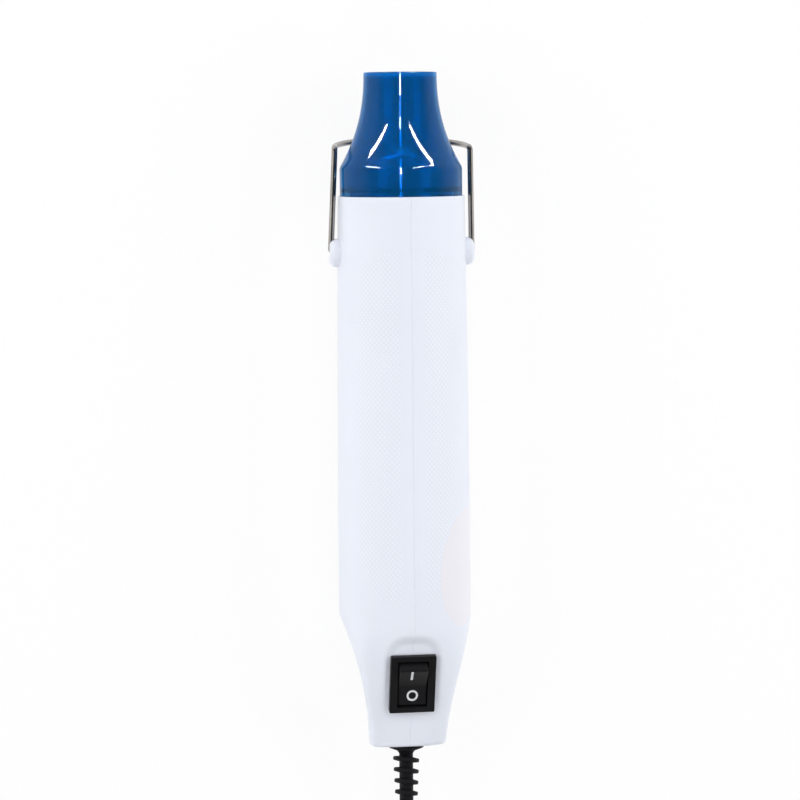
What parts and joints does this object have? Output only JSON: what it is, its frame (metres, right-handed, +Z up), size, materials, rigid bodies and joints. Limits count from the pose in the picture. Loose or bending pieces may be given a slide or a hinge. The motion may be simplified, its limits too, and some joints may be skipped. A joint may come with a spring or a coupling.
{
  "type": "hot air tool",
  "caption": "Slim hand-held hot air tool for crafts: white two-half casing, blue outlet cap, fold-out wire stand, rocker switch on the tapered tail, ribbed cord sleeve.",
  "frame": {"origin": "middle of the length without the free lead, on the plane that the tool's back rests on", "axes": "+Y along the tool from the tail to the outlet, +Z up to the switch side, +X to the right when seen from above with the outlet ahead"},
  "size_m": [0.067, 0.39, 0.0439],
  "materials": {
    "casing_white": "fine-textured white moulded plastic, satin",
    "cap_blue": "glossy translucent deep blue plastic",
    "steel": "plain drawn steel",
    "stand_wire": "bright drawn steel wire",
    "mica": "pale pressed mica sheet",
    "heating_wire": "oxidised resistance wire",
    "duct_black": "matt black heat-resistant plastic",
    "fan_ivory": "ivory plastic",
    "board_green": "green laminate",
    "black_plastic": "black moulded plastic",
    "switch_black": "semi-gloss black plastic with white marks",
    "brass": "plain brass",
    "rubber_black": "matt black flexible plastic",
    "wire_black": "black insulation",
    "wire_red": "red insulation",
    "wire_blue": "blue insulation"
  },
  "bodies": {
    "tool": {"casing_left": "casing_white", "casing_right": "casing_white", "nozzle_cap": "cap_blue", "barrel": "steel", "motor_can": "steel", "casing_screw_1": "steel", "casing_screw_2": "steel", "casing_screw_3": "steel", "casing_screw_4": "steel", "clamp_screw_1": "steel", "clamp_screw_2": "steel", "mica_liner": "mica", "mica_plate_level": "mica", "mica_plate_upright": "mica", "heater_coil": "heating_wire", "fan_duct": "duct_black", "motor_end_cap": "duct_black", "rectifier_board": "board_green", "thermal_cutout": "black_plastic", "diode_1": "black_plastic", "diode_2": "black_plastic", "diode_3": "black_plastic", "diode_4": "black_plastic", "clamp_bar": "black_plastic", "switch_body": "switch_black", "motor_terminal_left": "brass", "motor_terminal_right": "brass", "switch_terminal_1": "brass", "switch_terminal_2": "brass", "plug_blade_1": "brass", "plug_blade_2": "brass", "strain_relief": "rubber_black", "cord_inner": "rubber_black", "cord_lead": "rubber_black", "cord_coil": "rubber_black", "cord_tail": "rubber_black", "plug_body": "rubber_black", "wire_live": "wire_black", "wire_switched": "wire_red", "heater_wire_right": "wire_red", "heater_wire_left": "wire_red", "wire_neutral": "wire_blue"},
    "stand": {"wire_stand": "stand_wire"},
    "rocker": {"switch_rocker": "switch_black"},
    "fan_rotor": {"fan_impeller": "fan_ivory", "motor_shaft": "steel"}
  },
  "joints": [
    {"name": "stand_swing", "type": "hinge", "parent": "tool", "child": "stand", "pos_m": [0, 0.07305, 0.0217], "axis": [-1, 0, 0], "range_deg": [0, 110]},
    {"name": "rocker_tilt", "type": "hinge", "parent": "tool", "child": "rocker", "pos_m": [0, -0.07167, 0.0356], "axis": [-1, 0, 0], "range_deg": [0, 22]},
    {"name": "fan_spin", "type": "hinge", "parent": "tool", "child": "fan_rotor", "pos_m": [0, 0.01455, 0.0217], "axis": [0, 1, 0], "continuous": true}
  ]
}
